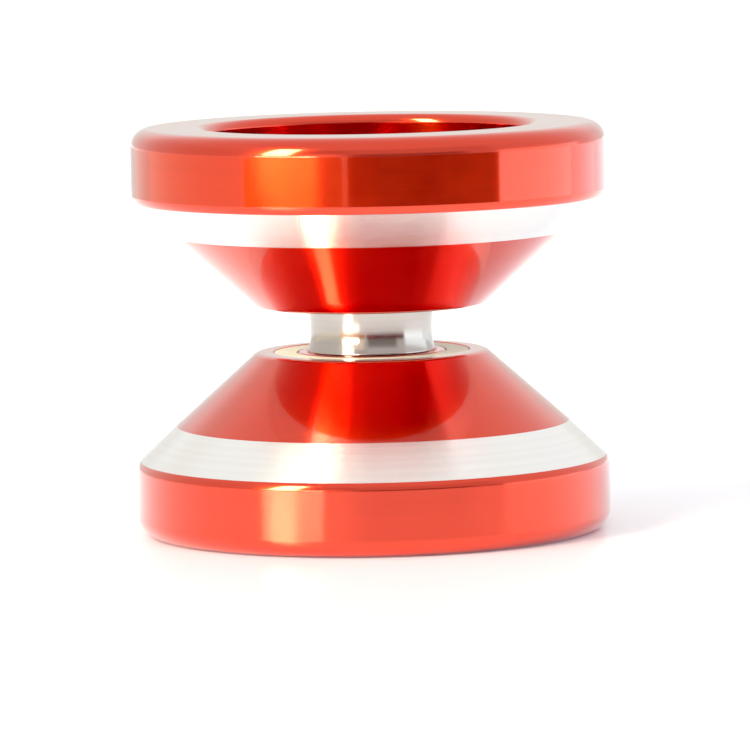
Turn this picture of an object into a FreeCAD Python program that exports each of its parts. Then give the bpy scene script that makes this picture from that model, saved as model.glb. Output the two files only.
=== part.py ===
import FreeCAD, Part

import math
import os

import Sketcher

# An all-metal ball bearing yo yo. The spin axis is Z, the origin is the middle of the bearing,
# and the yo yo stands on the lip of its lower half. Every length is in millimetres.

ball_count = 10
expansion_gap_angle = 34  # degrees left open in a wire snap ring

sizes = [
    # the two turned halves, which are the same part facing each other
    ("rim_dia", 47.5),
    ("overall_width", 40.8),
    ("rim_height", 7.07),  # lip face to the corner where the bare band begins
    ("band_run", 4.05),  # the bare band, measured across the radius
    ("band_rise", 3.79),  # the bare band, measured along the axis
    ("lip_width", 7.4),  # flat lip, from the rim to the mouth of the cup
    ("web_thickness", 2.7),  # cone wall, measured along the axis
    ("floor_thickness", 2.5),  # cup floor above the land
    ("land_ring_width", 1.7),  # flat land outside the response pad
    ("lip_outer_fillet", 1.8),
    ("lip_inner_fillet", 0.6),
    ("band_fillet", 1.1),
    ("land_fillet", 1.0),
    ("cup_fillet", 3.0),
    ("floor_fillet", 2.0),
    # the boss in the cup, which covers the blind end of the axle hole
    ("boss_root_dia", 10.0),
    ("boss_top_dia", 8.8),
    ("boss_cap", 1.6),  # metal left above the point of the drilled hole
    ("boss_root_fillet", 1.2),
    ("boss_top_fillet", 1.0),
    # the bearing's seat
    ("post_gap", 0.3),  # between the ends of the two posts
    ("post_chamfer", 0.3),
    ("post_clearance", 0.02),  # radial, post in the inner race
    ("shoulder_dia", 7.8),  # raised ring that touches the inner race only
    ("seat_depth", 0.08),  # how far the bearing stands into each land
    ("race_side_clearance", 0.25),
    ("recess_clearance", 0.15),  # radial, around the outer race
    # the silicone response pads
    ("pad_wall", 0.93),  # metal between the bearing recess and the pad
    ("pad_width", 2.42),
    ("pad_groove_depth", 1.0),
    ("pad_recess", 0.05),  # pad face below the land
    ("pad_clearance", 0.05),  # radial, each side of the pad
    ("pad_bond_line", 0.03),
    ("pad_edge_fillet", 0.12),
    # the axle, an M4 x 0.7 set screw, modelled at its crests
    ("axle_dia", 4.0),
    ("axle_length", 16.0),
    ("axle_chamfer", 0.4),
    ("axle_clearance", 0.03),  # radial, in both tapped holes
    ("axle_end_clearance", 0.6),  # from each end to the full depth of its hole
    ("socket_across_flats", 2.0),
    ("socket_depth", 2.0),
    ("drill_point_angle", 118.0),
    # the bearing, 1/4 x 1/2 x 3/16 inch, with a hollow-ground outer race
    ("bearing_bore", 6.35),
    ("bearing_dia", 12.7),
    ("bearing_width", 4.7625),
    ("waist_depth", 0.35),
    ("waist_edge_land", 0.25),  # straight strip left at each edge of the outer race
    ("race_gap", 1.25),  # between the lands of the two races
    ("race_chamfer", 0.15),
    ("ball_dia", 1.5875),
    ("ball_clearance", 0.032),  # radial, ball in each track
    ("cage_wall", 0.75),
    ("cage_width", 2.3),
    ("pocket_clearance", 0.08),  # radial, ball in its cage pocket
    ("step_width", 0.36),  # seat for the shield, out from the race's land
    ("step_depth", 0.53),
    ("shield_thickness", 0.2),
    ("shield_gap", 0.15),  # between the shield and the inner race
    ("shield_clearance", 0.02),
    ("snap_thickness", 0.22),
    ("snap_clearance", 0.01),
    ("snap_groove_depth", 0.2),
    ("snap_width", 0.58),  # radial width of the snap ring
]

# what follows from those sizes
half_width = "Sizes.overall_width / 2"
rim_radius = "Sizes.rim_dia / 2"
rim_corner = half_width + " - Sizes.rim_height"
band_radius = rim_radius + " - Sizes.band_run"
band_corner = rim_corner + " - Sizes.band_rise"
cup_radius = rim_radius + " - Sizes.lip_width"
bearing_side = "Sizes.bearing_width / 2"
land_face = bearing_side + " - Sizes.seat_depth"
recess_radius = "Sizes.bearing_dia / 2 + Sizes.recess_clearance"
recess_floor = bearing_side + " + Sizes.race_side_clearance"
pad_inner = recess_radius + " + Sizes.pad_wall"
pad_outer = pad_inner + " + Sizes.pad_width"
land_radius = pad_outer + " + Sizes.land_ring_width"
groove_floor = land_face + " + Sizes.pad_groove_depth"
floor_face = land_face + " + Sizes.floor_thickness"
post_radius = "Sizes.bearing_bore / 2 - Sizes.post_clearance"
post_end = "Sizes.post_gap / 2"
axle_end = "Sizes.axle_length / 2"
hole_radius = "Sizes.axle_dia / 2 + Sizes.axle_clearance"
hole_end = axle_end + " + Sizes.axle_end_clearance"
pitch_radius = "(Sizes.bearing_dia + Sizes.bearing_bore) / 4"
inner_land = pitch_radius + " - Sizes.race_gap / 2"
outer_land = pitch_radius + " + Sizes.race_gap / 2"
track_radius = "Sizes.ball_dia / 2 + Sizes.ball_clearance"
step_radius = outer_land + " + Sizes.step_width"
step_face = bearing_side + " - Sizes.step_depth"
snap_low = step_face + " + Sizes.shield_thickness + Sizes.snap_clearance"
snap_high = snap_low + " + Sizes.snap_thickness + 2 * Sizes.snap_clearance"
snap_groove_radius = step_radius + " + Sizes.snap_groove_depth"

upright = FreeCAD.Placement()
upside_down = FreeCAD.Placement(FreeCAD.Vector(), FreeCAD.Rotation(FreeCAD.Vector(1, 0, 0), 180))


def make_sheet(doc):
    sheet = doc.addObject("Spreadsheet::Sheet", "Sizes")
    for row, (alias, value) in enumerate(sizes, start=1):
        cell = "B%d" % row
        sheet.set("A%d" % row, alias)
        sheet.set(cell, str(value))
        sheet.setAlias(cell, alias)
    doc.recompute()


def section_sketch(body, name):
    """An empty sketch on the plane through the spin axis: across is the radius, up is Z."""
    sketch = body.newObject("Sketcher::SketchObject", name)
    planes = [f for f in body.Origin.OriginFeatures if f.Role == "XZ_Plane"]
    sketch.AttachmentSupport = [(planes[0], "")]
    sketch.MapMode = "FlatFace"
    return sketch


def place_point(sketch, index, position, radius, height):
    """Ties a point of the sketch to a radius and a height, each given as an expression."""
    point = sketch.getPoint(index, position)
    if radius == "0":
        sketch.addConstraint(Sketcher.Constraint("PointOnObject", index, position, -2))
    else:
        across = Sketcher.Constraint("DistanceX", -1, 1, index, position, point.x)
        sketch.setExpression("Constraints[%d]" % sketch.addConstraint(across), radius)
    if height == "0":
        sketch.addConstraint(Sketcher.Constraint("PointOnObject", index, position, -1))
    else:
        up = Sketcher.Constraint("DistanceY", -1, 1, index, position, point.y)
        sketch.setExpression("Constraints[%d]" % sketch.addConstraint(up), height)


def outline(body, name, corners):
    """A closed outline of straight lines. Each corner is its radius and height as expressions."""
    sketch = section_sketch(body, name)
    count = len(corners)
    start = [
        FreeCAD.Vector(10 + math.cos(2 * math.pi * k / count), math.sin(2 * math.pi * k / count), 0)
        for k in range(count)
    ]
    for k in range(count):
        sketch.addGeometry(Part.LineSegment(start[k], start[(k + 1) % count]))
    for k in range(count):
        sketch.addConstraint(Sketcher.Constraint("Coincident", k, 2, (k + 1) % count, 1))
    for k, (radius, height) in enumerate(corners):
        place_point(sketch, k, 1, radius, height)
    body.Document.recompute()
    return sketch


def round_section(body, name, radius, height, size):
    """A circle in the section plane, such as a ball track."""
    sketch = section_sketch(body, name)
    circle = Part.Circle(FreeCAD.Vector(10, 1, 0), FreeCAD.Vector(0, 0, 1), 1)
    sketch.addGeometry(circle)
    place_point(sketch, 0, 3, radius, height)
    rounding = sketch.addConstraint(Sketcher.Constraint("Radius", 0, 1))
    sketch.setExpression("Constraints[%d]" % rounding, size)
    body.Document.recompute()
    return sketch


def new_body(doc, node, placement=upright):
    body = doc.addObject("PartDesign::Body", node)
    body.Label = node
    body.Placement = placement
    return body


def turn(body, name, sketch):
    feature = body.newObject("PartDesign::Revolution", name)
    feature.Profile = sketch
    feature.ReferenceAxis = (sketch, ["V_Axis"])
    feature.Angle = 360
    body.Document.recompute()


def cut_round(body, name, sketch):
    """Turns a groove, and makes sure that it took metal away."""
    before = body.Shape.Volume
    feature = body.newObject("PartDesign::Groove", name)
    feature.Profile = sketch
    feature.ReferenceAxis = (sketch, ["V_Axis"])
    feature.Angle = 360
    body.Document.recompute()
    if body.Shape.Volume >= before:
        raise ValueError(name + " cuts nothing")


def ring_edges(feature, spots):
    """Names of the circular edges of a feature at these spots, each a radius and a height."""
    names = []
    for number, edge in enumerate(feature.Shape.Edges, start=1):
        if not isinstance(edge.Curve, Part.Circle):
            continue
        here = (edge.Curve.Radius, edge.Curve.Center.z)
        if any(math.dist(here, spot) < 0.001 for spot in spots):
            names.append("Edge%d" % number)
    if len(names) != len(spots):
        raise ValueError("%s: found %d edges of %d" % (feature.Name, len(names), len(spots)))
    return names


def corner_spots(sketch, *indexes):
    points = [sketch.getPoint(index, 1) for index in indexes]
    return [(abs(point.x), point.y) for point in points]


def round_off(body, name, spots, radius):
    base = body.Tip
    feature = body.newObject("PartDesign::Fillet", name)
    feature.Base = (base, ring_edges(base, spots))
    feature.setExpression("Radius", radius)
    body.Document.recompute()


def break_edge(body, name, spots, size):
    base = body.Tip
    feature = body.newObject("PartDesign::Chamfer", name)
    feature.Base = (base, ring_edges(base, spots))
    feature.setExpression("Size", size)
    body.Document.recompute()


def plain_ring(doc, node, inner, outer, low, high, placement=upright):
    body = new_body(doc, node, placement)
    corners = [(inner, low), (outer, low), (outer, high), (inner, high)]
    sketch = outline(body, node + "_section", corners)
    turn(body, node + "_turning", sketch)
    return body, sketch


def make_half(doc, node, placement):
    """One half: rim, bare band, cone, cup with its boss, and the seat of the bearing."""
    body = new_body(doc, node, placement)
    slope = "(%s - (%s)) / (%s - (%s))" % (band_corner, land_face, band_radius, land_radius)
    cone_at_cup = "%s + (%s - (%s)) * %s" % (land_face, cup_radius, land_radius, slope)
    floor_edge = cone_at_cup + " + Sizes.web_thickness"
    floor_radius = land_radius + " + (Sizes.floor_thickness - Sizes.web_thickness) / (%s)" % slope
    drill_point = "(%s) / tan(Sizes.drill_point_angle * 1 deg / 2)" % hole_radius
    hole_tip = hole_end + " + " + drill_point
    boss_top = hole_tip + " + Sizes.boss_cap"

    corners = {
        "axis_front": ("0", post_end),
        "post_tip": (post_radius, post_end),
        "post_root": (post_radius, land_face),
        "land_edge": (land_radius, land_face),
        "cone_end": (band_radius, band_corner),
        "band_end": (rim_radius, rim_corner),
        "lip_outer": (rim_radius, half_width),
        "lip_inner": (cup_radius, half_width),
        "wall_foot": (cup_radius, floor_edge),
        "floor_bend": (floor_radius, floor_face),
        "boss_root": ("Sizes.boss_root_dia / 2", floor_face),
        "boss_top": ("Sizes.boss_top_dia / 2", boss_top),
        "axis_back": ("0", boss_top),
    }
    order = list(corners)
    blank = outline(body, node + "_blank_section", list(corners.values()))
    turn(body, node + "_blank", blank)

    recess = [
        (post_radius, post_end),
        (recess_radius, post_end),
        (recess_radius, recess_floor),
        ("Sizes.shoulder_dia / 2", recess_floor),
        ("Sizes.shoulder_dia / 2", bearing_side),
        (post_radius, bearing_side),
    ]
    cut_round(body, node + "_bearing_recess", outline(body, node + "_recess_section", recess))

    pad_groove = [
        (pad_inner, post_end),
        (pad_outer, post_end),
        (pad_outer, groove_floor),
        (pad_inner, groove_floor),
    ]
    cut_round(body, node + "_pad_groove", outline(body, node + "_groove_section", pad_groove))

    axle_hole = [("0", "0"), (hole_radius, "0"), (hole_radius, hole_end), ("0", hole_tip)]
    cut_round(body, node + "_axle_hole", outline(body, node + "_hole_section", axle_hole))

    fillets = [
        ("land_edge", "Sizes.land_fillet"),
        ("band_end", "Sizes.band_fillet"),
        ("lip_outer", "Sizes.lip_outer_fillet"),
        ("lip_inner", "Sizes.lip_inner_fillet"),
        ("wall_foot", "Sizes.cup_fillet"),
        ("floor_bend", "Sizes.floor_fillet"),
        ("boss_root", "Sizes.boss_root_fillet"),
        ("boss_top", "Sizes.boss_top_fillet"),
    ]
    for corner, radius in fillets:
        spot = corner_spots(blank, order.index(corner))
        round_off(body, node + "_" + corner + "_fillet", spot, radius)
    tip = corner_spots(blank, order.index("post_tip"))
    break_edge(body, node + "_post_chamfer", tip, "Sizes.post_chamfer")
    return body


def make_pad(doc, node, placement):
    """A flat silicone ring, bonded into the groove of one half."""
    inner = pad_inner + " + Sizes.pad_clearance"
    outer = pad_outer + " - Sizes.pad_clearance"
    low = land_face + " + Sizes.pad_recess"
    high = groove_floor + " - Sizes.pad_bond_line"
    body, sketch = plain_ring(doc, node, inner, outer, low, high, placement)
    round_off(body, node + "_edges", corner_spots(sketch, 0, 1), "Sizes.pad_edge_fillet")
    return body


def make_axle(doc):
    """The set screw that holds the halves together, with a hexagon socket in its upper end."""
    blank = new_body(doc, "axle_blank")
    radius = "Sizes.axle_dia / 2"
    small = radius + " - Sizes.axle_chamfer"
    corners = [
        ("0", "-(%s)" % axle_end),
        (small, "-(%s)" % axle_end),
        (radius, "-(%s) + Sizes.axle_chamfer" % axle_end),
        (radius, axle_end + " - Sizes.axle_chamfer"),
        (small, axle_end),
        ("0", axle_end),
    ]
    turn(blank, "axle_turning", outline(blank, "axle_section", corners))
    socket = doc.addObject("Part::Prism", "axle_socket")
    socket.Polygon = 6
    socket.setExpression("Circumradius", "Sizes.socket_across_flats / 2 / cos(30 deg)")
    socket.setExpression("Height", "Sizes.socket_depth")
    socket.setExpression("Placement.Base.z", axle_end + " - Sizes.socket_depth")
    axle = doc.addObject("Part::Cut", "axle_screw")
    axle.Label = "axle_screw"
    axle.Base = blank
    axle.Tool = socket
    doc.recompute()
    return axle


def make_inner_race(doc):
    body, sketch = plain_ring(
        doc,
        "bearing_inner_race",
        "Sizes.bearing_bore / 2",
        inner_land,
        "-(%s)" % bearing_side,
        bearing_side,
    )
    track = round_section(body, "inner_track_section", pitch_radius, "0", track_radius)
    cut_round(body, "inner_track", track)
    bore_edges = corner_spots(sketch, 0, 3)
    break_edge(body, "inner_race_chamfers", bore_edges, "Sizes.race_chamfer")
    return body


def make_outer_race(doc):
    """The outer race, hollow-ground outside so that the string stays in the middle."""
    body = new_body(doc, "bearing_outer_race")
    race_radius = "Sizes.bearing_dia / 2"
    upper_side = [
        (race_radius, bearing_side),
        (step_radius, bearing_side),
        (step_radius, snap_high),
        (snap_groove_radius, snap_high),
        (snap_groove_radius, snap_low),
        (step_radius, snap_low),
        (step_radius, step_face),
        (outer_land, step_face),
    ]
    lower_side = [(radius, "-(%s)" % height) for radius, height in reversed(upper_side)]
    sketch = outline(body, "outer_race_section", upper_side + lower_side)
    turn(body, "outer_race_turning", sketch)
    track = round_section(body, "outer_track_section", pitch_radius, "0", track_radius)
    cut_round(body, "outer_track", track)
    half_chord = "(%s - Sizes.waist_edge_land)" % bearing_side
    sweep = "(%s ^ 2 + Sizes.waist_depth ^ 2) / (2 * Sizes.waist_depth)" % half_chord
    centre = race_radius + " - Sizes.waist_depth + " + sweep
    waist = round_section(body, "waist_section", centre, "0", sweep)
    cut_round(body, "waist", waist)
    rims = corner_spots(sketch, 0, 2 * len(upper_side) - 1)
    break_edge(body, "outer_race_chamfers", rims, "Sizes.race_chamfer")
    return body


def on_circle(feature, number, radius):
    """Puts a feature on a circle round the spin axis, at its share of a full turn."""
    angle = "%g deg" % (360 * number / ball_count)
    feature.setExpression("Placement.Base.x", "(%s) * cos(%s)" % (radius, angle))
    feature.setExpression("Placement.Base.y", "(%s) * sin(%s)" % (radius, angle))


def make_balls(doc):
    balls = []
    for number in range(ball_count):
        node = "bearing_ball_%02d" % (number + 1)
        ball = doc.addObject("Part::Sphere", node)
        ball.Label = node
        ball.setExpression("Radius", "Sizes.ball_dia / 2")
        on_circle(ball, number, pitch_radius)
        balls.append(ball)
    doc.recompute()
    return balls


def make_pocket(doc, number):
    """A round hole through the cage wall, square to the spin axis."""
    pocket = doc.addObject("Part::Cylinder", "cage_pocket_%02d" % (number + 1))
    pocket.setExpression("Radius", "Sizes.ball_dia / 2 + Sizes.pocket_clearance")
    pocket.setExpression("Height", "Sizes.race_gap")
    outward = FreeCAD.Rotation(FreeCAD.Vector(0, 1, 0), 90)
    around = FreeCAD.Rotation(FreeCAD.Vector(0, 0, 1), 360 * number / ball_count)
    pocket.Placement = FreeCAD.Placement(FreeCAD.Vector(), around.multiply(outward))
    on_circle(pocket, number, inner_land)
    return pocket


def make_cage(doc):
    """A thin ring with one round pocket for each ball."""
    inner = pitch_radius + " - Sizes.cage_wall / 2"
    outer = pitch_radius + " + Sizes.cage_wall / 2"
    low = "-Sizes.cage_width / 2"
    high = "Sizes.cage_width / 2"
    blank = plain_ring(doc, "cage_blank", inner, outer, low, high)[0]
    pockets = doc.addObject("Part::MultiFuse", "cage_pockets")
    pockets.Shapes = [make_pocket(doc, number) for number in range(ball_count)]
    cage = doc.addObject("Part::Cut", "bearing_cage")
    cage.Label = "bearing_cage"
    cage.Base = blank
    cage.Tool = pockets
    doc.recompute()
    return cage


def make_shield(doc, node, placement):
    inner = inner_land + " + Sizes.shield_gap"
    outer = step_radius + " - Sizes.shield_clearance"
    top = step_face + " + Sizes.shield_thickness"
    return plain_ring(doc, node, inner, outer, step_face, top, placement)[0]


def make_snap_ring(doc, node, placement):
    """The open wire ring that holds a shield in the outer race."""
    outer = snap_groove_radius + " - Sizes.shield_clearance"
    inner = outer + " - Sizes.snap_width"
    low = snap_low + " + Sizes.snap_clearance"
    high = snap_high + " - Sizes.snap_clearance"
    closed = plain_ring(doc, node + "_closed", inner, outer, low, high)[0]
    gap = doc.addObject("Part::Cylinder", node + "_opening")
    gap.Angle = expansion_gap_angle
    gap.setExpression("Radius", "Sizes.bearing_dia / 2")
    gap.setExpression("Height", "Sizes.bearing_width")
    ring = doc.addObject("Part::Cut", node)
    ring.Label = node
    ring.Base = closed
    ring.Tool = gap
    ring.Placement = placement
    doc.recompute()
    return ring


def make_all(doc):
    parts = [
        make_half(doc, "upper_half", upright),
        make_half(doc, "lower_half", upside_down),
        make_pad(doc, "upper_response_pad", upright),
        make_pad(doc, "lower_response_pad", upside_down),
        make_axle(doc),
        make_inner_race(doc),
        make_outer_race(doc),
        make_cage(doc),
        make_shield(doc, "upper_bearing_shield", upright),
        make_shield(doc, "lower_bearing_shield", upside_down),
        make_snap_ring(doc, "upper_snap_ring", upright),
        make_snap_ring(doc, "lower_snap_ring", upside_down),
    ]
    return parts + make_balls(doc)


def check(doc, parts):
    for feature in doc.Objects:
        if "Invalid" in feature.State or "Error" in feature.State:
            raise ValueError(feature.Name + " failed to build")
    for part in parts:
        shape = part.Shape
        if shape.isNull() or not shape.isValid() or len(shape.Solids) != 1:
            raise ValueError(part.Label + " is not one valid solid")


def main():
    doc = FreeCAD.newDocument("yo_yo")
    make_sheet(doc)
    parts = make_all(doc)
    doc.recompute()
    check(doc, parts)
    os.makedirs("parts", exist_ok=True)
    for part in parts:
        part.Shape.exportStep("parts/" + part.Label + ".step")
        box = part.Shape.BoundBox
        print("%-22s %9.3f mm3  z %7.3f to %7.3f" % (part.Label, part.Shape.Volume, box.ZMin, box.ZMax))


main()
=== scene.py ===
import math

import bmesh
import bpy
from mathutils import Matrix, Vector


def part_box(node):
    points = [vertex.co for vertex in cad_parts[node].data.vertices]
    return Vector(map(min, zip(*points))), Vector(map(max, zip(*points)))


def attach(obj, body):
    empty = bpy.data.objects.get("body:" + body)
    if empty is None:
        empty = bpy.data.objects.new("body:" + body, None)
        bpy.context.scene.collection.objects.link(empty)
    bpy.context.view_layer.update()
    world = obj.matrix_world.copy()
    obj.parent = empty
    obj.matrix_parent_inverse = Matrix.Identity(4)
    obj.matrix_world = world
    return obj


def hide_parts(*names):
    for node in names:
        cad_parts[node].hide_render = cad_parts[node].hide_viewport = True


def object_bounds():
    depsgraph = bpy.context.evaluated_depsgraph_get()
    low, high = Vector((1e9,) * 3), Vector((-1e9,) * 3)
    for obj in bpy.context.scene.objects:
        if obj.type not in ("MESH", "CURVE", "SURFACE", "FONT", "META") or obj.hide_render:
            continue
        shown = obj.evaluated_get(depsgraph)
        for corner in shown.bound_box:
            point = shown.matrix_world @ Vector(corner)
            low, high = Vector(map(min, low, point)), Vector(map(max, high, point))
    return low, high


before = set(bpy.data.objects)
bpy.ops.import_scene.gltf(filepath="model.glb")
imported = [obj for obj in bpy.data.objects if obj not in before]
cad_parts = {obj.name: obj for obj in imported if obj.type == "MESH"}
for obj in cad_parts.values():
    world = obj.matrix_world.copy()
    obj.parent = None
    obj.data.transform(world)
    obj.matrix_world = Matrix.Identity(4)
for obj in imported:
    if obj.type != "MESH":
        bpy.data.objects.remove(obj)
cadLow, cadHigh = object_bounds()
mm = 0.001  # outlines are written in millimetres, meshes are in metres
fullTurn = 2 * math.pi
mergeDistance = 2e-6
print("frame loaded")


def roundCorners(bm, verts, offset, segments):
    bmesh.ops.bevel(
        bm, geom=verts, offset=offset, offset_type="OFFSET", segments=segments, profile=0.5,
        affect="VERTICES", clamp_overlap=False, material=-1,
    )


def outlineMesh(corners, rounds, segments=8):
    # an open outline in the section plane; each corner is (name, radius, height)
    bm = bmesh.new()
    verts = {name: bm.verts.new((r * mm, 0, z * mm)) for name, r, z in corners}
    names = [corner[0] for corner in corners]
    for a, b in zip(names, names[1:]):
        bm.edges.new((verts[a], verts[b]))
    for name, radius in rounds.items():
        vert = verts[name]
        ends = [edge.other_vert(vert).co - vert.co for edge in vert.link_edges]
        turnAngle = math.pi - ends[0].angle(ends[1])
        roundCorners(bm, [vert], radius * mm * math.tan(turnAngle / 2), segments)
    return bm


def closeUp(bm):
    bmesh.ops.remove_doubles(bm, verts=bm.verts[:], dist=mergeDistance)
    bmesh.ops.recalc_face_normals(bm, faces=bm.faces[:])


def turnOutline(bm, steps):
    bmesh.ops.spin(
        bm, geom=bm.verts[:] + bm.edges[:], cent=(0, 0, 0), axis=(0, 0, 1),
        angle=fullTurn, steps=steps, use_merge=True, use_duplicate=False,
    )
    closeUp(bm)
    return bm


def turnRing(corners, rounds, steps, segments):
    # a ring whose section is closed: the outline ends where it starts
    return turnOutline(outlineMesh(corners + [("back", *corners[0][1:])], rounds, segments), steps)


def flipOver(bm):
    # the same part facing the other way: half a turn about X
    bmesh.ops.rotate(bm, verts=bm.verts[:], cent=(0, 0, 0), matrix=Matrix.Rotation(math.pi, 3, "X"))


def makePiece(bm, name, body, nodes, surfaces, sharpAngle=28):
    for face in bm.faces:
        face.smooth = True
    for edge in bm.edges:
        if len(edge.link_faces) == 2:
            edge.smooth = edge.calc_face_angle() < math.radians(sharpAngle)
    mesh = bpy.data.meshes.new(name)
    bm.to_mesh(mesh)
    bm.free()
    for surface in surfaces:
        mesh.materials.append(surface)
    piece = bpy.data.objects.new(name, mesh)
    bpy.context.scene.collection.objects.link(piece)
    weighted = piece.modifiers.new("evenNormals", "WEIGHTED_NORMAL")
    weighted.keep_sharp = True
    weighted.weight = 100
    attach(piece, body)
    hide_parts(*nodes)
    return piece


def groupShell(name, inputs, outputs):
    group = bpy.data.node_groups.new(name, "ShaderNodeTree")
    for label, value in inputs.items():
        socket = group.interface.new_socket(name=label, in_out="INPUT", socket_type="NodeSocketFloat")
        socket.default_value = value
    for label in outputs:
        group.interface.new_socket(name=label, in_out="OUTPUT", socket_type="NodeSocketFloat")
    return group, group.nodes.new("NodeGroupInput"), group.nodes.new("NodeGroupOutput")


def addNode(tree, kind, inputs=None, **settings):
    # an input is linked when its value is a socket, and set when it is a number
    node = tree.nodes.new(kind)
    for key, value in settings.items():
        setattr(node, key, value)
    for key, value in (inputs or {}).items():
        if isinstance(value, bpy.types.NodeSocket):
            tree.links.new(value, node.inputs[key])
        else:
            node.inputs[key].default_value = value
    return node


def addMath(tree, operation, first, second=None):
    inputs = {0: first} if second is None else {0: first, 1: second}
    return addNode(tree, "ShaderNodeMath", inputs, operation=operation).outputs[0]


def addMix(tree, factor, first, second):
    mix = addNode(tree, "ShaderNodeMix", {"Factor": factor}, data_type="RGBA", blend_type="MIX")
    mix.inputs["A"].default_value = (*first, 1)
    mix.inputs["B"].default_value = (*second, 1)
    return mix


def useGroup(tree, group, values):
    node = tree.nodes.new("ShaderNodeGroup")
    node.node_tree = group
    for key, value in values.items():
        node.inputs[key].default_value = value
    return node


def turningLines():
    # fine tool lines round the spin axis, by how far out and how high the point is
    group, start, end = groupShell("turningLines", {"Pitch": 0.00012}, ["Height", "Mask"])
    place = addNode(group, "ShaderNodeTexCoord")
    parts = addNode(group, "ShaderNodeSeparateXYZ", {0: place.outputs["Object"]})
    flat = addNode(group, "ShaderNodeCombineXYZ", {0: parts.outputs[0], 1: parts.outputs[1]})
    radius = addNode(group, "ShaderNodeVectorMath", {0: flat.outputs[0]}, operation="LENGTH")
    across = addMath(group, "DIVIDE", radius.outputs["Value"], start.outputs["Pitch"])
    along = addMath(group, "DIVIDE", parts.outputs[2], start.outputs["Pitch"])
    where = addNode(group, "ShaderNodeCombineXYZ", {0: across, 1: along}).outputs[0]
    fine = addNode(group, "ShaderNodeTexNoise", {"Vector": where, "Scale": 1.0, "Detail": 3.0})
    coarse = addNode(group, "ShaderNodeTexNoise", {"Vector": where, "Scale": 0.13, "Detail": 2.0})
    height = addMath(group, "ADD", fine.outputs[0], coarse.outputs[0])
    group.links.new(height, end.inputs["Height"])
    group.links.new(coarse.outputs[0], end.inputs["Mask"])
    return group


def handling():
    # faint smears and dust that a polished toy picks up
    group, start, end = groupShell("handling", {"Scale": 180.0, "Low": 0.0, "High": 1.0}, ["Value"])
    place = addNode(group, "ShaderNodeTexCoord")
    cloud = addNode(
        group, "ShaderNodeTexNoise",
        {"Vector": place.outputs["Object"], "Scale": start.outputs["Scale"], "Detail": 5.0, "Roughness": 0.6},
    )
    spread = addNode(
        group, "ShaderNodeMapRange",
        {"Value": cloud.outputs[0], "From Min": 0.35, "From Max": 0.7,
         "To Min": start.outputs["Low"], "To Max": start.outputs["High"]},
    )
    group.links.new(spread.outputs[0], end.inputs["Value"])
    return group


turningGroup = turningLines()
handlingGroup = handling()

metal = {
    "smearScale": 220.0,
    "lineDepth": 0.00001,
    "darkLine": 0.94,  # the colour in and between the tool lines
    "lightLine": 1.05,
    "acrossLines": 0.25,  # the blur runs across the tool lines, a quarter turn from them
}


def metalMaterial(
    name, color, rough, roughSpread, linePitch, lineBump, lineBlur=0.0, coat=0.0, coatRough=0.05, coatIor=1.5
):
    material = bpy.data.materials.new(name)
    material.use_nodes = True
    tree = material.node_tree
    shader = tree.nodes["Principled BSDF"]
    shader.inputs["Metallic"].default_value = 1.0
    shader.inputs["Anisotropic"].default_value = lineBlur
    shader.inputs["Anisotropic Rotation"].default_value = metal["acrossLines"]
    shader.inputs["Coat Weight"].default_value = coat
    shader.inputs["Coat Roughness"].default_value = coatRough
    shader.inputs["Coat IOR"].default_value = coatIor
    lines = useGroup(tree, turningGroup, {"Pitch": linePitch})
    smears = useGroup(
        tree, handlingGroup, {"Scale": metal["smearScale"], "Low": rough, "High": rough + roughSpread}
    )
    tree.links.new(smears.outputs["Value"], shader.inputs["Roughness"])
    bump = addNode(
        tree, "ShaderNodeBump",
        {"Strength": lineBump, "Distance": metal["lineDepth"], "Height": lines.outputs["Height"]},
    )
    tree.links.new(bump.outputs["Normal"], shader.inputs["Normal"])
    dark = [metal["darkLine"] * part for part in color]
    light = [min(1.0, metal["lightLine"] * part) for part in color]
    shade = addMix(tree, lines.outputs["Mask"], dark, light)
    tree.links.new(shade.outputs["Result"], shader.inputs["Base Color"])
    return material


silicone = {
    "clean": (0.89, 0.92, 0.76),
    "worn": (0.85, 0.88, 0.70),
    "rough": 0.34,
    "glow": 0.15,  # how much light passes through the surface
    "glowReach": (0.0012, 0.0008, 0.0005),
    "grainScale": 500.0,
    "grainBump": 0.35,
    "grainDepth": 0.00002,
}


def siliconeMaterial(name):
    material = bpy.data.materials.new(name)
    material.use_nodes = True
    tree = material.node_tree
    shader = tree.nodes["Principled BSDF"]
    shader.inputs["Roughness"].default_value = silicone["rough"]
    shader.inputs["Subsurface Weight"].default_value = silicone["glow"]
    shader.inputs["Subsurface Radius"].default_value = silicone["glowReach"]
    smears = useGroup(tree, handlingGroup, {"Scale": silicone["grainScale"], "Low": 0.0, "High": 1.0})
    shade = addMix(tree, smears.outputs["Value"], silicone["clean"], silicone["worn"])
    tree.links.new(shade.outputs["Result"], shader.inputs["Base Color"])
    grain = addNode(
        tree, "ShaderNodeBump",
        {"Strength": silicone["grainBump"], "Distance": silicone["grainDepth"],
         "Height": smears.outputs["Value"]},
    )
    tree.links.new(grain.outputs["Normal"], shader.inputs["Normal"])
    return material


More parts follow.
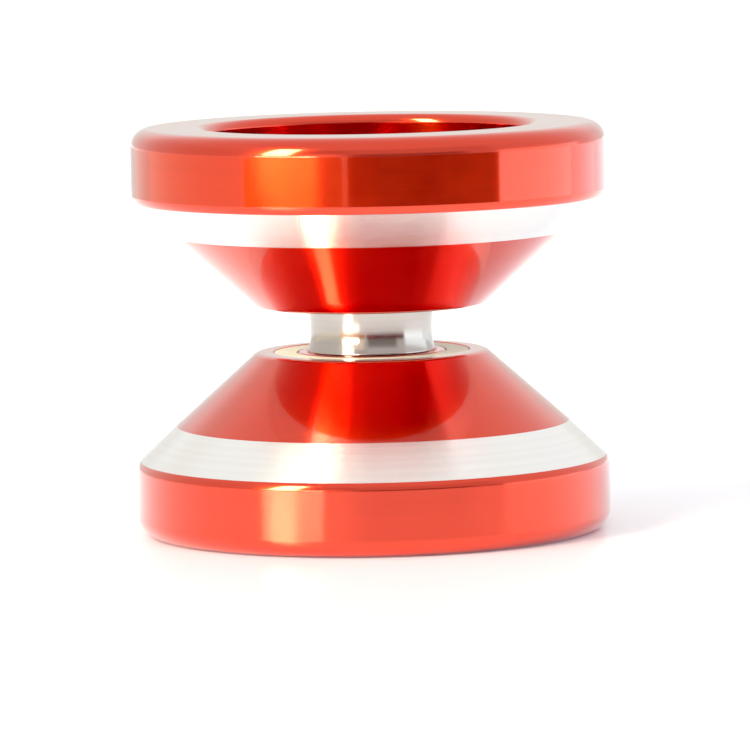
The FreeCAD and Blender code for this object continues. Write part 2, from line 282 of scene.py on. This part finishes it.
finishes = {
    "redAnodised": dict(
        color=(0.74, 0.050, 0.010), rough=0.15, roughSpread=0.05, linePitch=0.00010, lineBump=0.18,
        lineBlur=0.45, coat=1.0, coatRough=0.05, coatIor=1.53,
    ),
    "bareAluminium": dict(
        color=(0.92, 0.915, 0.90), rough=0.21, roughSpread=0.05, linePitch=0.00009, lineBump=0.30,
        lineBlur=0.9,
    ),
    "racePolish": dict(
        color=(0.50, 0.46, 0.43), rough=0.10, roughSpread=0.06, linePitch=0.00006, lineBump=0.2,
    ),
    "innerSteel": dict(
        color=(0.66, 0.65, 0.63), rough=0.20, roughSpread=0.08, linePitch=0.00006, lineBump=0.3,
    ),
    "sheetSteel": dict(
        color=(0.62, 0.61, 0.59), rough=0.28, roughSpread=0.10, linePitch=0.00010, lineBump=0.3,
    ),
    "screwSteel": dict(
        color=(0.36, 0.35, 0.35), rough=0.30, roughSpread=0.12, linePitch=0.00008, lineBump=0.2,
    ),
    "ballSteel": dict(
        color=(0.78, 0.78, 0.78), rough=0.05, roughSpread=0.04, linePitch=0.0002, lineBump=0.0,
    ),
}
materials = {name: metalMaterial(name, **finish) for name, finish in finishes.items()}
materials["creamSilicone"] = siliconeMaterial("creamSilicone")
print("materials made")

# sizes that come from the CAD solids
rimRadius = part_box("upper_half")[1].x / mm
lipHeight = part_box("upper_half")[1].z / mm
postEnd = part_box("upper_half")[0].z / mm
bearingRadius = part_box("bearing_outer_race")[1].x / mm
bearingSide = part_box("bearing_outer_race")[1].z / mm
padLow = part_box("upper_response_pad")[0].z / mm
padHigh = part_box("upper_response_pad")[1].z / mm
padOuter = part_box("upper_response_pad")[1].x / mm
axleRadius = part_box("axle_screw")[1].x / mm
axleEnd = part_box("axle_screw")[1].z / mm

half = {
    "rimHeight": 7.07,
    "bandRun": 4.05,
    "bandRise": 3.79,
    "bandTopMargin": 0.25,  # red left above the bare band, where its edge is rounded
    "bandSideMargin": 0.33,
    "lipWidth": 7.4,
    "webThickness": 2.7,
    "floorThickness": 2.5,
    "landRing": 1.7,
    "padRecess": 0.05,
    "padGrooveDepth": 1.0,
    "padWidth": 2.42,
    "padClearance": 0.05,
    "padWall": 0.93,
    "raceClearance": 0.25,
    "shoulderRadius": 3.9,
    "postRadius": 3.155,
    "postChamfer": 0.3,
    "holeRadius": 2.03,
    "holeEnd": 8.6,
    "drillPoint": 1.22,
    "bossCap": 1.6,
    "bossRoot": 5.0,
    "bossTop": 4.4,
    "steps": 288,
    "rounds": {
        "recessEdge": 0.3, "grooveEdgeIn": 0.3, "grooveEdgeOut": 0.08, "shoulder": 0.08,
        "landEdge": 1.0, "bandTop": 1.1, "lipOuter": 1.8, "lipInner": 0.9,
        "wallFoot": 3.0, "floorBend": 2.0, "bossRoot": 1.2, "bossTop": 1.0,
    },
}
bandTop = lipHeight - half["rimHeight"]
bandFoot = bandTop - half["bandRise"]
bandInner = rimRadius - half["bandRun"]


def halfOutline():
    cupRadius = rimRadius - half["lipWidth"]
    land = padLow - half["padRecess"]
    grooveFoot = land + half["padGrooveDepth"]
    grooveOuter = padOuter + half["padClearance"]
    grooveInner = grooveOuter - half["padWidth"]
    recessRadius = grooveInner - half["padWall"]
    recessFoot = bearingSide + half["raceClearance"]
    landRadius = grooveOuter + half["landRing"]
    slope = (bandFoot - land) / (bandInner - landRadius)
    floorEdge = land + (cupRadius - landRadius) * slope + half["webThickness"]
    floorRadius = landRadius + (half["floorThickness"] - half["webThickness"]) / slope
    floorHeight = land + half["floorThickness"]
    holeTip = half["holeEnd"] + half["drillPoint"]
    bossHeight = holeTip + half["bossCap"]
    return [
        ("holeTip", 0, holeTip),
        ("holeEnd", half["holeRadius"], half["holeEnd"]),
        ("holeMouth", half["holeRadius"], postEnd),
        ("postTip", half["postRadius"] - half["postChamfer"], postEnd),
        ("postSide", half["postRadius"], postEnd + half["postChamfer"]),
        ("postRoot", half["postRadius"], bearingSide),
        ("shoulder", half["shoulderRadius"], bearingSide),
        ("shoulderFoot", half["shoulderRadius"], recessFoot),
        ("recessFoot", recessRadius, recessFoot),
        ("recessEdge", recessRadius, land),
        ("grooveEdgeIn", grooveInner, land),
        ("grooveFootIn", grooveInner, grooveFoot),
        ("grooveFootOut", grooveOuter, grooveFoot),
        ("grooveEdgeOut", grooveOuter, land),
        ("landEdge", landRadius, land),
        ("bandFoot", bandInner, bandFoot),
        ("bandTop", rimRadius, bandTop),
        ("lipOuter", rimRadius, lipHeight),
        ("lipInner", cupRadius, lipHeight),
        ("wallFoot", cupRadius, floorEdge),
        ("floorBend", floorRadius, floorHeight),
        ("bossRoot", half["bossRoot"], floorHeight),
        ("bossTop", half["bossTop"], bossHeight),
        ("bossCentre", 0, bossHeight),
    ]


def onBareBand(face):
    middle = face.calc_center_median() / mm
    radius = math.hypot(middle.x, middle.y)
    high = bandFoot < middle.z < bandTop - half["bandTopMargin"]
    wide = bandInner - 0.01 < radius < rimRadius - half["bandSideMargin"]
    return high and wide and face.normal.z < 0


def makeHalf(name, body, node, upsideDown):
    bm = turnOutline(outlineMesh(halfOutline(), half["rounds"]), half["steps"])
    for face in bm.faces:
        face.material_index = 1 if onBareBand(face) else 0
    if upsideDown:
        flipOver(bm)
    return makePiece(
        bm, name, body, [node], [materials["redAnodised"], materials["bareAluminium"]]
    )


makeHalf("upper_half_turned", "upper_half_turning", "upper_half", False)
makeHalf("lower_half_turned", "lower_half_and_axle", "lower_half", True)
print("halves turned")

pad = {
    "seenRound": 0.14,
    "hiddenRound": 0.05,
    "roundSegments": 4,
    "steps": 180,
}


def makePad(name, body, node, upsideDown):
    inner = padOuter - half["padWidth"] + 2 * half["padClearance"]
    corners = [
        ("start", inner, (padLow + padHigh) / 2), ("seenIn", inner, padLow), ("seenOut", padOuter, padLow),
        ("hiddenOut", padOuter, padHigh), ("hiddenIn", inner, padHigh),
    ]
    rounds = {
        "seenIn": pad["seenRound"], "seenOut": pad["seenRound"],
        "hiddenOut": pad["hiddenRound"], "hiddenIn": pad["hiddenRound"],
    }
    bm = turnRing(corners, rounds, pad["steps"], pad["roundSegments"])
    if upsideDown:
        flipOver(bm)
    return makePiece(bm, name, body, [node], [materials["creamSilicone"]])


makePad("upper_pad_ring", "upper_pad_carrier", "upper_response_pad", False)
makePad("lower_pad_ring", "lower_half_and_axle", "lower_response_pad", True)
print("pads made")

bearing = {
    "waistDepth": 0.35,
    "waistSegments": 16,
    "waistReach": 0.995,  # share of the waist's straight lines that the curve takes up
    "edgeLand": 0.25,
    "chamfer": 0.15,
    "innerEdge": 0.08,
    "pitchRadius": 4.7625,
    "raceGap": 1.25,
    "ballRadius": 0.79375,
    "trackHalfWidth": 0.55,
    "trackReach": 0.19,  # how far past the ball the track's corner lies before it is rounded
    "trackRound": 0.85,
    "trackSegments": 8,
    "stepWidth": 0.36,
    "stepDepth": 0.53,
    "shieldThickness": 0.2,
    "shieldGap": 0.15,
    "shieldClearance": 0.02,
    "snapGrooveDepth": 0.2,
    "snapThickness": 0.22,
    "snapWidth": 0.58,
    "snapPlay": 0.01,
    "snapRound": 0.05,
    "snapGap": math.radians(34),
    "boreRadius": 3.175,
    "outerSteps": 180,
    "innerSteps": 144,
    "snapSteps": 120,
}
outerLand = bearing["pitchRadius"] + bearing["raceGap"] / 2
innerLand = bearing["pitchRadius"] - bearing["raceGap"] / 2
stepRadius = outerLand + bearing["stepWidth"]
stepFace = bearingSide - bearing["stepDepth"]


def outerRaceOutline():
    chamfer = bearing["chamfer"]
    grooveRadius = stepRadius + bearing["snapGrooveDepth"]
    grooveLow = stepFace + bearing["shieldThickness"] + bearing["snapPlay"]
    grooveHigh = grooveLow + bearing["snapThickness"] + 2 * bearing["snapPlay"]
    upper = [
        ("edge", bearingRadius, bearingSide - bearing["edgeLand"]),
        ("rim", bearingRadius, bearingSide - chamfer), ("side", bearingRadius - chamfer, bearingSide),
        ("mouth", stepRadius, bearingSide), ("grooveHigh", stepRadius, grooveHigh),
        ("grooveHighOut", grooveRadius, grooveHigh), ("grooveLowOut", grooveRadius, grooveLow),
        ("grooveLow", stepRadius, grooveLow), ("step", stepRadius, stepFace), ("land", outerLand, stepFace),
        ("trackEdge", outerLand, bearing["trackHalfWidth"]),
    ]
    track = ("track", bearing["pitchRadius"] + bearing["ballRadius"] + bearing["trackReach"], 0)
    lower = [(name + "Below", r, -z) for name, r, z in reversed(upper)]
    # the corner of the waist lies so deep that the rounded curve dips by the waist's depth
    waist = ("waist", bearingRadius - bearing["waistDepth"] / (2 - math.sqrt(2)), 0)
    return upper + [track] + lower + [waist, ("back", *upper[0][1:])]


def makeOuterRace():
    outline = outerRaceOutline()
    bm = outlineMesh(outline, {"track": bearing["trackRound"]}, bearing["trackSegments"])
    waistPoint = Vector((outline[-2][1] * mm, 0, 0))
    waist = min(bm.verts, key=lambda vert: (vert.co - waistPoint).length)
    reach = min(edge.calc_length() for edge in waist.link_edges)
    roundCorners(bm, [waist], reach * bearing["waistReach"], bearing["waistSegments"])
    turnOutline(bm, bearing["outerSteps"])
    return makePiece(
        bm, "bearing_race_polished", "bearing_outer", ["bearing_outer_race"],
        [materials["racePolish"]],
    )


def makeInnerRace():
    bore = bearing["boreRadius"]
    chamfer = bearing["chamfer"]
    edge = bearing["innerEdge"]
    upper = [
        ("trackEdge", innerLand, bearing["trackHalfWidth"]), ("land", innerLand, bearingSide - edge),
        ("side", innerLand - edge, bearingSide), ("boreSide", bore + chamfer, bearingSide),
        ("boreEdge", bore, bearingSide - chamfer),
    ]
    lower = [(name + "Below", r, -z) for name, r, z in reversed(upper)]
    track = ("track", bearing["pitchRadius"] - bearing["ballRadius"] - bearing["trackReach"], 0)
    corners = [("boreMiddle", bore, 0)] + lower + [track] + upper
    bm = turnRing(corners, {"track": bearing["trackRound"]}, bearing["innerSteps"], bearing["trackSegments"])
    return makePiece(
        bm, "bearing_inner_ground", "lower_half_and_axle", ["bearing_inner_race"],
        [materials["innerSteel"]],
    )


def makeShield(name, node, upsideDown):
    inner = innerLand + bearing["shieldGap"]
    outer = stepRadius - bearing["shieldClearance"]
    high = stepFace + bearing["shieldThickness"]
    corners = [
        ("start", inner, (stepFace + high) / 2), ("lowIn", inner, stepFace), ("lowOut", outer, stepFace),
        ("highOut", outer, high), ("highIn", inner, high),
    ]
    rounds = {"lowIn": 0.05, "lowOut": 0.04, "highOut": 0.05, "highIn": 0.07}
    bm = turnRing(corners, rounds, bearing["innerSteps"], 3)
    if upsideDown:
        flipOver(bm)
    return makePiece(bm, name, "bearing_outer", [node], [materials["sheetSteel"]])


def makeSnapRing(name, node, upsideDown):
    # an open ring of flat wire: one rounded section swept most of the way round
    outer = stepRadius + bearing["snapGrooveDepth"] - bearing["shieldClearance"]
    inner = outer - bearing["snapWidth"]
    low = stepFace + bearing["shieldThickness"] + 2 * bearing["snapPlay"]
    high = low + bearing["snapThickness"]
    bm = bmesh.new()
    section = [(inner, low), (outer, low), (outer, high), (inner, high)]
    bm.faces.new([bm.verts.new((r * mm, 0, z * mm)) for r, z in section])
    roundCorners(bm, bm.verts[:], bearing["snapRound"] * mm, 3)
    bmesh.ops.rotate(
        bm, verts=bm.verts[:], cent=(0, 0, 0), matrix=Matrix.Rotation(bearing["snapGap"], 3, "Z")
    )
    bmesh.ops.spin(
        bm, geom=bm.faces[:], cent=(0, 0, 0), axis=(0, 0, 1), angle=fullTurn - bearing["snapGap"],
        steps=bearing["snapSteps"], use_merge=False, use_duplicate=False,
    )
    closeUp(bm)
    if upsideDown:
        flipOver(bm)
    return makePiece(bm, name, "bearing_outer", [node], [materials["sheetSteel"]])


ball = {
    "count": 10,
    "around": 32,
    "rings": 20,
    "sharpAngle": 80,
}


def makeBall(number):
    node = "bearing_ball_%02d" % number
    low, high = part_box(node)
    bm = bmesh.new()
    bmesh.ops.create_uvsphere(
        bm, u_segments=ball["around"], v_segments=ball["rings"], radius=(high.z - low.z) / 2
    )
    bmesh.ops.translate(bm, verts=bm.verts[:], vec=(low + high) / 2)
    return makePiece(
        bm, "ball_%02d_lapped" % number, node + "_body", [node],
        [materials["ballSteel"]], ball["sharpAngle"],
    )


makeOuterRace()
makeInnerRace()
makeShield("upper_shield_disc", "upper_bearing_shield", False)
makeShield("lower_shield_disc", "lower_bearing_shield", True)
makeSnapRing("upper_snap_wire", "upper_snap_ring", False)
makeSnapRing("lower_snap_wire", "lower_snap_ring", True)
for number in range(1, ball["count"] + 1):
    makeBall(number)
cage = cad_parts["bearing_cage"]
cage.data.materials.clear()
cage.data.materials.append(materials["sheetSteel"])
print("bearing made")

axle = {
    "pitch": 0.7,
    "threadDepth": 0.43,
    "chamfer": 0.4,
    "socketRadius": 2.0 / 2 / math.cos(math.radians(30)),  # 2 mm across flats
    "socketDepth": 2.0,
    "steps": 48,
    "sharpAngle": 25,
}


def threadBlank():
    # one tooth swept along the helix, longer than the screw at both ends
    pitch = axle["pitch"]
    root = axleRadius - axle["threadDepth"]
    turns = int(2 * axleEnd / pitch) + 4
    low = -turns * pitch / 2
    # heights here are shares of the pitch
    tooth = [(root, 0), (root, 0.125), (axleRadius, 0.5), (axleRadius, 0.625), (root, 1)]
    bm = bmesh.new()
    verts = [bm.verts.new((r * mm, 0, (low + share * pitch) * mm)) for r, share in tooth]
    for a, b in zip(verts, verts[1:]):
        bm.edges.new((a, b))
    bmesh.ops.spin(
        bm, geom=bm.verts[:] + bm.edges[:], cent=(0, 0, 0), axis=(0, 0, 1), angle=fullTurn * turns,
        steps=axle["steps"] * turns, dvec=(0, 0, pitch * mm / axle["steps"]), use_merge=False,
        use_duplicate=False,
    )
    bmesh.ops.remove_doubles(bm, verts=bm.verts[:], dist=mergeDistance)
    return bm


def grownParts(result, kind):
    return [item for item in result["geom"] if isinstance(item, kind)]


def trimEnd(bm, side):
    # cuts the thread off square, adds the chamfered end and gives back the edges round it
    cut = (axleEnd - axle["chamfer"]) * mm * side
    bmesh.ops.bisect_plane(
        bm, geom=bm.verts[:] + bm.edges[:] + bm.faces[:], dist=1e-8, plane_co=(0, 0, cut),
        plane_no=(0, 0, side), clear_outer=True, clear_inner=False,
    )
    rim = [
        edge for edge in bm.edges
        if edge.is_boundary and all(abs(vert.co.z - cut) < 1e-7 for vert in edge.verts)
    ]
    grown = bmesh.ops.extrude_edge_only(bm, edges=rim)
    for vert in grownParts(grown, bmesh.types.BMVert):
        radius = math.hypot(vert.co.x, vert.co.y)
        shrink = min(1.0, (axleRadius - axle["chamfer"]) * mm / radius)
        vert.co = (vert.co.x * shrink, vert.co.y * shrink, axleEnd * mm * side)
    return grownParts(grown, bmesh.types.BMEdge)


def makeAxle():
    bm = threadBlank()
    bmesh.ops.holes_fill(bm, edges=trimEnd(bm, -1), sides=0)
    top = trimEnd(bm, 1)
    mouth = bmesh.ops.create_circle(
        bm, segments=6, radius=axle["socketRadius"] * mm, matrix=Matrix.Translation((0, 0, axleEnd * mm))
    )["verts"]
    mouthEdges = list({edge for vert in mouth for edge in vert.link_edges})
    bmesh.ops.triangle_fill(bm, use_beauty=True, edges=top + mouthEdges, normal=(0, 0, 1))
    walls = bmesh.ops.extrude_edge_only(bm, edges=mouthEdges)
    bmesh.ops.translate(
        bm, verts=grownParts(walls, bmesh.types.BMVert), vec=(0, 0, -axle["socketDepth"] * mm)
    )
    bmesh.ops.holes_fill(bm, edges=grownParts(walls, bmesh.types.BMEdge), sides=0)
    bmesh.ops.recalc_face_normals(bm, faces=bm.faces[:])
    return makePiece(
        bm, "axle_screw_threaded", "lower_half_and_axle", ["axle_screw"],
        [materials["screwSteel"]], axle["sharpAngle"],
    )


makeAxle()
print("axle made")

studio = {
    "cameraDistance": 0.6056,
    "cameraElevation": math.radians(5.29),
    "cameraRoll": math.radians(1.12),
    "lens": 289.7,
    "aimRight": 0.00037,
    "aimDown": 0.00483,
    "blackLevel": (0, 0.008, 0.003),
    "baseLight": (0.97, 0.96, 0.93),
    "floorSize": 6,
    "floorColor": (0.87, 0.89, 0.95),
    "floorRough": 0.24,
    "floorGlow": 0.10,
    "floorGlowColor": (0.95, 1.0, 1.15),
    "cardDistance": 0.35,
    "cardGap": 0.0002,  # between the floor and the foot of each low card
}

# angle, strength and the direction the light comes from
suns = {
    "softSun": (25, 0.86, (-0.75, -0.30, 0.60)),
    "fillSun": (40, 0.58, (0.60, -0.60, 0.55)),
}

# azimuth 0 is the camera's side, positive to the right: azimuth from and to, height, light
lowCards = {
    "leftFarCard": (-180, -152, 0.022, (0.80, 0.80, 0.77)),
    "leftSideCard": (-152, -128, 0.022, (0.92, 0.90, 0.80)),
    "leftCard": (-128, -60, 0.022, (1.12, 1.05, 0.82)),
    "leftAccentCard": (-62, -55, 0.022, (1.40, 0.70, 0.10)),
    "warmCard": (-55, -22, 0.026, (1.05, 0.32, 0.04)),
    "frontLeftCard": (-22, -12, 0.026, (0.62, 0.24, 0.08)),
    "thinCard": (-12, -9.5, 0.022, (1.20, 0.80, 0.50)),
    "frontSoftCard": (-9.5, 3, 0.029, (0.28, 0.01, 0.0)),
    "frontDarkCard": (3, 63.5, 0.029, (0.15, 0.0, 0.0)),
    "rightCard": (63.5, 112, 0.022, (1.90, 2.05, 2.20)),
    "rightSideCard": (112, 138, 0.022, (1.35, 1.50, 1.60)),
    "rightFarCard": (138, 180, 0.022, (1.10, 1.20, 1.25)),
}

# the bright card above them: azimuth from and to, distance, foot and top above the floor, light
keyCard = (-54, -24, 0.36, 0.034, 0.052, (22.0, 20.5, 16.5))

# patches of the walls: azimuth from and to, elevation from and to, softness, light
wallPatches = [
    (-150, -54, -10, 36, 6, (0.90, 0.88, 0.82)),
    (-54, 66, 4, 38, 6, (0.72, 0.66, 0.62)),
    (-10, 66, -10, 38, 4, (0.80, 0.76, 0.74)),
    (-7, 48, -10, 12, 4, (0.34, 0.32, 0.30)),
    (-52, -38, 8, 44, 2, (26.0, 23.0, 16.0)),
    (-38, -14, -2, 16, 4, (1.3, 1.1, 0.9)),
    (66, 148, 4, 40, 8, (0.95, 0.95, 0.95)),
    (66, 122, -10, 8, 4, (1.60, 1.75, 1.85)),
    (150, 210, -10, 16, 6, (0.84, 0.82, 0.78)),
    (-210, -150, -10, 16, 6, (0.84, 0.82, 0.78)),
]


def plainMaterial(name, color, rough, glow, glowColor):
    material = bpy.data.materials.new(name)
    material.use_nodes = True
    shader = material.node_tree.nodes["Principled BSDF"]
    shader.inputs["Base Color"].default_value = (*color, 1)
    shader.inputs["Roughness"].default_value = rough
    shader.inputs["Emission Color"].default_value = (*glowColor, 1)
    shader.inputs["Emission Strength"].default_value = glow
    return material


def stageObject(bm, name, material):
    mesh = bpy.data.meshes.new(name)
    bm.to_mesh(mesh)
    bm.free()
    mesh.materials.append(material)
    card = bpy.data.objects.new(name, mesh)
    bpy.context.scene.collection.objects.link(card)
    return card


def makeFloor():
    bm = bmesh.new()
    bmesh.ops.create_grid(bm, x_segments=1, y_segments=1, size=studio["floorSize"] / 2)
    bmesh.ops.translate(bm, vec=(0, 0, cadLow.z), verts=bm.verts[:])
    material = plainMaterial(
        "paleFloor", studio["floorColor"], studio["floorRough"], studio["floorGlow"],
        studio["floorGlowColor"],
    )
    stageObject(bm, "floor", material)


def standingCard(name, azimuthFrom, azimuthTo, distance, low, high, light):
    # an upright curved card, made by turning one edge about the spin axis
    bm = bmesh.new()
    start = math.radians(azimuthFrom - 90)
    x, y = distance * math.cos(start), distance * math.sin(start)
    foot = bm.verts.new((x, y, cadLow.z + low))
    top = bm.verts.new((x, y, cadLow.z + high))
    bm.edges.new((foot, top))
    bmesh.ops.spin(
        bm, geom=bm.verts[:] + bm.edges[:], cent=(0, 0, 0), axis=(0, 0, 1),
        angle=math.radians(azimuthTo - azimuthFrom), steps=24, use_merge=False, use_duplicate=False,
    )
    card = stageObject(bm, name, plainMaterial(name, (0, 0, 0), 1.0, 1.0, light))
    card.visible_camera = False
    card.visible_diffuse = False
    card.visible_shadow = False


def softBand(tree, value, low, high, soft):
    def ramp(start, stop):
        return addNode(
            tree, "ShaderNodeMapRange", {"Value": value, "From Min": start, "From Max": stop},
            interpolation_type="SMOOTHSTEP",
        ).outputs["Result"]

    return addMath(tree, "MULTIPLY", ramp(low - soft, low + soft), ramp(high + soft, high - soft))


def makeSky(scene):
    world = bpy.data.worlds.new("softRoom")
    world.use_nodes = True
    tree = world.node_tree
    place = addNode(tree, "ShaderNodeTexCoord")
    parts = addNode(tree, "ShaderNodeSeparateXYZ", {0: place.outputs["Generated"]})
    backward = addMath(tree, "MULTIPLY", parts.outputs[1], -1.0)
    azimuth = addMath(tree, "DEGREES", addMath(tree, "ARCTAN2", parts.outputs[0], backward))
    elevation = addMath(tree, "DEGREES", addMath(tree, "ARCSINE", parts.outputs[2]))
    base = addNode(tree, "ShaderNodeRGB")
    base.outputs[0].default_value = (*studio["baseLight"], 1)
    color = base.outputs[0]
    for left, right, low, high, soft, light in wallPatches:
        across = softBand(tree, azimuth, left, right, soft)
        upward = softBand(tree, elevation, low, high, soft)
        layer = addMix(tree, addMath(tree, "MULTIPLY", across, upward), studio["baseLight"], light)
        tree.links.new(color, layer.inputs["A"])
        color = layer.outputs["Result"]
    background = tree.nodes["Background"]
    tree.links.new(color, background.inputs[0])
    background.inputs[1].default_value = 1.0
    scene.world = world


def makeSun(name, angle, strength, direction):
    sun = bpy.data.lights.new(name, "SUN")
    sun.angle = math.radians(angle)
    sun.energy = strength
    lamp = bpy.data.objects.new(name, sun)
    bpy.context.scene.collection.objects.link(lamp)
    lamp.visible_glossy = False
    lamp.rotation_mode = "QUATERNION"
    lamp.rotation_quaternion = Vector(direction).normalized().to_track_quat("Z", "Y")


def makeStudio():
    scene = bpy.context.scene
    scene.view_settings.view_transform = "Standard"
    scene.view_settings.use_curve_mapping = True
    scene.view_settings.curve_mapping.black_level = studio["blackLevel"]
    scene.view_settings.curve_mapping.update()
    makeSky(scene)
    makeFloor()
    for name, (left, right, height, light) in lowCards.items():
        standingCard(name, left, right, studio["cardDistance"], studio["cardGap"], height, light)
    standingCard("lowKeyCard", *keyCard)
    for name, settings in suns.items():
        makeSun(name, *settings)


def makeCamera():
    data = bpy.data.cameras.new("camera")
    data.lens = studio["lens"]
    data.sensor_width = 36
    data.clip_start, data.clip_end = 0.01, 20
    camera = bpy.data.objects.new("camera", data)
    bpy.context.scene.collection.objects.link(camera)
    elevation, roll = studio["cameraElevation"], studio["cameraRoll"]
    back = Vector((0, -math.cos(elevation), math.sin(elevation)))
    level = Vector((1, 0, 0))
    upright = back.cross(level)
    right = level * math.cos(roll) - upright * math.sin(roll)
    up = upright * math.cos(roll) + level * math.sin(roll)
    place = back * studio["cameraDistance"]
    aim = right * studio["aimRight"] - up * studio["aimDown"]
    back = (place - aim).normalized()
    right = (right - back * right.dot(back)).normalized()
    turn = Matrix((right, back.cross(right), back)).transposed()
    camera.rotation_mode = "QUATERNION"
    camera.rotation_quaternion = turn.to_quaternion()
    camera.location = place
    bpy.context.scene.camera = camera


makeStudio()
makeCamera()
print("studio made")
